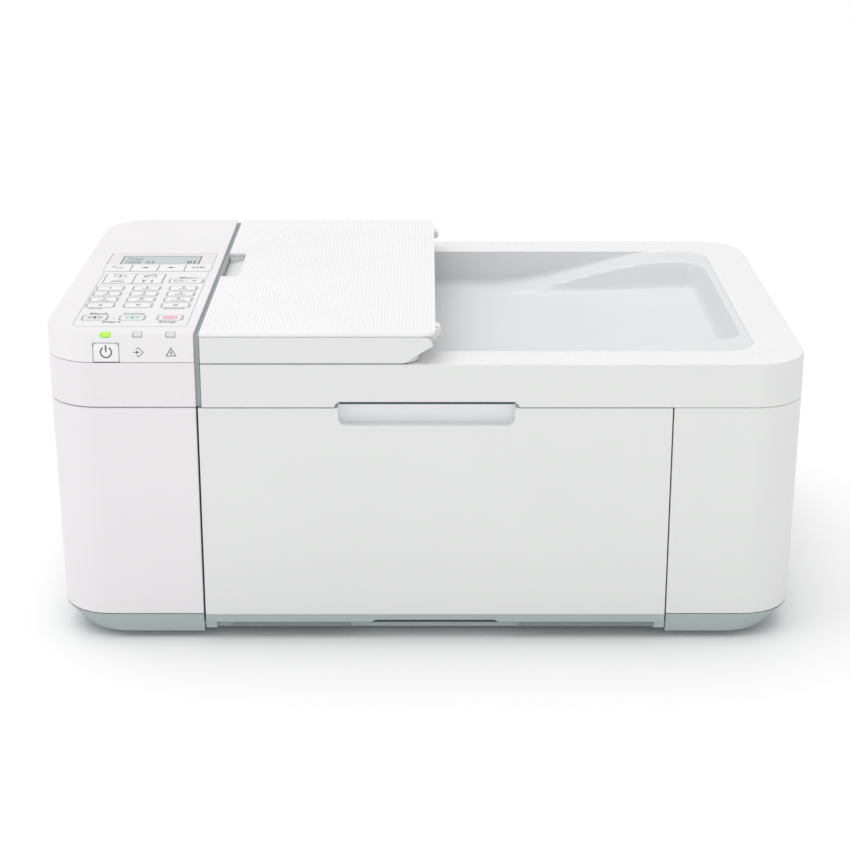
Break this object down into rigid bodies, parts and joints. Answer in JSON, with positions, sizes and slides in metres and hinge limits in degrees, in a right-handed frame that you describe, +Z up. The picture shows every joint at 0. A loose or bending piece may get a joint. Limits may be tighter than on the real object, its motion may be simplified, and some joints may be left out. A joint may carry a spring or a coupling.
{
  "type": "inkjet printer",
  "caption": "Desktop inkjet printer with a flatbed scanner, a sheet feeder, a keypad panel and a front paper bay behind a fold-down cover.",
  "frame": {"origin": "middle of the printer's footprint, on the surface it stands on", "axes": "+X to the printer's right as one faces it, +Y to its back, +Z up"},
  "size_m": [0.437, 0.297, 0.1884],
  "materials": {
    "shell_white": "satin moulded",
    "panel_white": "satin moulded",
    "lid_white": "fine ribbed texture on top",
    "grey_base": "satin moulded",
    "dark_plastic": "fine grain",
    "black_plastic": "fine grain",
    "key_white": "satin",
    "screen": "clear window over a grey display",
    "glass": "clear float glass",
    "light_guide": "frosted clear",
    "steel": "zinc plated sheet",
    "rubber": "ground",
    "foam": "white film on foam",
    "circuit_board": "solder mask"
  },
  "bodies": {
    "case": {"base_tray": "grey_base", "left_side_cover": "shell_white", "right_side_cover": "shell_white", "rear_cover": "shell_white", "left_upper_cover": "shell_white", "operation_panel": "panel_white", "display": "screen", "light_guide": "light_guide", "scanner_housing": "shell_white", "scanner_glass": "glass", "chassis": "steel", "carriage_motor": "steel", "carriage_belt": "rubber", "print_platen": "black_plastic", "main_board": "circuit_board", "power_supply": "black_plastic"},
    "lid": {"document_cover": "lid_white", "pressure_sheet": "foam", "adf_frame": "lid_white"},
    "document_tray": {"document_tray": "lid_white"},
    "feeder_cover": {"feeder_cover": "shell_white"},
    "document_guide_front": {"document_guide_front": "shell_white"},
    "document_guide_rear": {"document_guide_rear": "shell_white"},
    "adf_feed_roller": {"adf_feed_roller": "rubber"},
    "front_cover": {"front_cover": "shell_white"},
    "transport_cover": {"transport_cover": "shell_white"},
    "paper_output_tray": {"paper_output_tray": "dark_plastic"},
    "paper_guide_left": {"paper_guide_left": "dark_plastic"},
    "paper_guide_right": {"paper_guide_right": "dark_plastic"},
    "carriage": {"carriage": "black_plastic", "black_cartridge": "black_plastic", "colour_cartridge": "black_plastic"},
    "feed_roller": {"feed_roller": "rubber"},
    "eject_roller": {"eject_roller": "rubber"},
    "image_sensor": {"image_sensor": "dark_plastic"},
    "power_key": {"power_key": "key_white"},
    "key_back": {"key_back": "key_white"},
    "key_left": {"key_left": "key_white"},
    "key_right": {"key_right": "key_white"},
    "key_ok": {"key_ok": "key_white"},
    "key_copy": {"key_copy": "key_white"},
    "key_fax": {"key_fax": "key_white"},
    "key_scan": {"key_scan": "key_white"},
    "key_tools": {"key_tools": "key_white"},
    "key_menu": {"key_menu": "key_white"},
    "key_1": {"key_1": "key_white"},
    "key_2": {"key_2": "key_white"},
    "key_3": {"key_3": "key_white"},
    "key_4": {"key_4": "key_white"},
    "key_5": {"key_5": "key_white"},
    "key_6": {"key_6": "key_white"},
    "key_7": {"key_7": "key_white"},
    "key_8": {"key_8": "key_white"},
    "key_9": {"key_9": "key_white"},
    "key_star": {"key_star": "key_white"},
    "key_0": {"key_0": "key_white"},
    "key_hash": {"key_hash": "key_white"},
    "key_start_black": {"key_start_black": "key_white"},
    "key_start_colour": {"key_start_colour": "key_white"},
    "key_stop": {"key_stop": "key_white"}
  },
  "joints": [
    {"name": "lid_hinge", "type": "hinge", "parent": "case", "child": "lid", "pos_m": [0, 0.143, 0.15], "axis": [-1, 0, 0], "range_deg": [0, 70]},
    {"name": "document_tray_hinge", "type": "hinge", "parent": "lid", "child": "document_tray", "pos_m": [0.0055, 0, 0.184], "axis": [0, 1, 0], "range_deg": [0, 150]},
    {"name": "feeder_cover_hinge", "type": "hinge", "parent": "lid", "child": "feeder_cover", "pos_m": [-0.1094, 0, 0.183], "axis": [0, -1, 0], "range_deg": [0, 60]},
    {"name": "document_guide_front_slide", "type": "slide", "parent": "lid", "child": "document_guide_front", "axis": [0, 1, 0], "range_m": [0, 0.06]},
    {"name": "document_guide_rear_slide", "type": "slide", "parent": "lid", "child": "document_guide_rear", "axis": [0, -1, 0], "range_m": [0, 0.06]},
    {"name": "adf_roller_spin", "type": "hinge", "parent": "lid", "child": "adf_feed_roller", "pos_m": [-0.0474, 0, 0.1782], "axis": [0, 1, 0], "continuous": true},
    {"name": "front_cover_hinge", "type": "hinge", "parent": "case", "child": "front_cover", "pos_m": [0.00485, -0.145, 0.009], "axis": [1, 0, 0], "range_deg": [0, 90]},
    {"name": "output_tray_slide", "type": "slide", "parent": "case", "child": "paper_output_tray", "axis": [0, -1, 0], "range_m": [0, 0.05]},
    {"name": "transport_cover_hinge", "type": "hinge", "parent": "case", "child": "transport_cover", "pos_m": [0, 0.1473, 0.0312], "axis": [-1, 0, 0], "range_deg": [0, 80]},
    {"name": "paper_guide_left_slide", "type": "slide", "parent": "case", "child": "paper_guide_left", "axis": [1, 0, 0], "range_m": [0, 0.035]},
    {"name": "paper_guide_right_slide", "type": "slide", "parent": "case", "child": "paper_guide_right", "axis": [-1, 0, 0], "range_m": [0, 0.035]},
    {"name": "carriage_slide", "type": "slide", "parent": "case", "child": "carriage", "axis": [-1, 0, 0], "range_m": [0, 0.165]},
    {"name": "feed_roller_spin", "type": "hinge", "parent": "case", "child": "feed_roller", "pos_m": [0.00485, 0.026, 0.061], "axis": [1, 0, 0], "continuous": true},
    {"name": "eject_roller_spin", "type": "hinge", "parent": "case", "child": "eject_roller", "pos_m": [0.00485, -0.03, 0.061], "axis": [1, 0, 0], "continuous": true},
    {"name": "image_sensor_slide", "type": "slide", "parent": "case", "child": "image_sensor", "axis": [1, 0, 0], "range_m": [0, 0.27]},
    {"name": "power_key_press", "type": "slide", "parent": "case", "child": "power_key", "axis": [0, 1, 0], "range_m": [0, 0.0008], "stiffness_N_per_m": 1000},
    {"name": "key_back_press", "type": "slide", "parent": "case", "child": "key_back", "axis": [0, 0, -1], "range_m": [0, 0.0008], "stiffness_N_per_m": 1000},
    {"name": "key_left_press", "type": "slide", "parent": "case", "child": "key_left", "axis": [0, 0, -1], "range_m": [0, 0.0008], "stiffness_N_per_m": 1000},
    {"name": "key_right_press", "type": "slide", "parent": "case", "child": "key_right", "axis": [0, 0, -1], "range_m": [0, 0.0008], "stiffness_N_per_m": 1000},
    {"name": "key_ok_press", "type": "slide", "parent": "case", "child": "key_ok", "axis": [0, 0, -1], "range_m": [0, 0.0008], "stiffness_N_per_m": 1000},
    {"name": "key_copy_press", "type": "slide", "parent": "case", "child": "key_copy", "axis": [0, 0, -1], "range_m": [0, 0.0008], "stiffness_N_per_m": 1000},
    {"name": "key_fax_press", "type": "slide", "parent": "case", "child": "key_fax", "axis": [0, 0, -1], "range_m": [0, 0.0008], "stiffness_N_per_m": 1000},
    {"name": "key_scan_press", "type": "slide", "parent": "case", "child": "key_scan", "axis": [0, 0, -1], "range_m": [0, 0.0008], "stiffness_N_per_m": 1000},
    {"name": "key_tools_press", "type": "slide", "parent": "case", "child": "key_tools", "axis": [0, 0, -1], "range_m": [0, 0.0008], "stiffness_N_per_m": 1000},
    {"name": "key_menu_press", "type": "slide", "parent": "case", "child": "key_menu", "axis": [0, 0, -1], "range_m": [0, 0.0008], "stiffness_N_per_m": 1000},
    {"name": "key_1_press", "type": "slide", "parent": "case", "child": "key_1", "axis": [0, 0, -1], "range_m": [0, 0.0008], "stiffness_N_per_m": 1000},
    {"name": "key_2_press", "type": "slide", "parent": "case", "child": "key_2", "axis": [0, 0, -1], "range_m": [0, 0.0008], "stiffness_N_per_m": 1000},
    {"name": "key_3_press", "type": "slide", "parent": "case", "child": "key_3", "axis": [0, 0, -1], "range_m": [0, 0.0008], "stiffness_N_per_m": 1000},
    {"name": "key_4_press", "type": "slide", "parent": "case", "child": "key_4", "axis": [0, 0, -1], "range_m": [0, 0.0008], "stiffness_N_per_m": 1000},
    {"name": "key_5_press", "type": "slide", "parent": "case", "child": "key_5", "axis": [0, 0, -1], "range_m": [0, 0.0008], "stiffness_N_per_m": 1000},
    {"name": "key_6_press", "type": "slide", "parent": "case", "child": "key_6", "axis": [0, 0, -1], "range_m": [0, 0.0008], "stiffness_N_per_m": 1000},
    {"name": "key_7_press", "type": "slide", "parent": "case", "child": "key_7", "axis": [0, 0, -1], "range_m": [0, 0.0008], "stiffness_N_per_m": 1000},
    {"name": "key_8_press", "type": "slide", "parent": "case", "child": "key_8", "axis": [0, 0, -1], "range_m": [0, 0.0008], "stiffness_N_per_m": 1000},
    {"name": "key_9_press", "type": "slide", "parent": "case", "child": "key_9", "axis": [0, 0, -1], "range_m": [0, 0.0008], "stiffness_N_per_m": 1000},
    {"name": "key_star_press", "type": "slide", "parent": "case", "child": "key_star", "axis": [0, 0, -1], "range_m": [0, 0.0008], "stiffness_N_per_m": 1000},
    {"name": "key_0_press", "type": "slide", "parent": "case", "child": "key_0", "axis": [0, 0, -1], "range_m": [0, 0.0008], "stiffness_N_per_m": 1000},
    {"name": "key_hash_press", "type": "slide", "parent": "case", "child": "key_hash", "axis": [0, 0, -1], "range_m": [0, 0.0008], "stiffness_N_per_m": 1000},
    {"name": "key_start_black_press", "type": "slide", "parent": "case", "child": "key_start_black", "axis": [0, 0, -1], "range_m": [0, 0.0008], "stiffness_N_per_m": 1000},
    {"name": "key_start_colour_press", "type": "slide", "parent": "case", "child": "key_start_colour", "axis": [0, 0, -1], "range_m": [0, 0.0008], "stiffness_N_per_m": 1000},
    {"name": "key_stop_press", "type": "slide", "parent": "case", "child": "key_stop", "axis": [0, 0, -1], "range_m": [0, 0.0008], "stiffness_N_per_m": 1000}
  ],
  "couplings": [
    {"joint": "feeder_cover_hinge", "follows": "document_tray_hinge", "ratio": 0.4},
    {"joint": "document_guide_rear_slide", "follows": "document_guide_front_slide", "ratio": 1},
    {"joint": "output_tray_slide", "follows": "front_cover_hinge", "m_per_rad": 0.0318},
    {"joint": "paper_guide_right_slide", "follows": "paper_guide_left_slide", "ratio": 1}
  ]
}
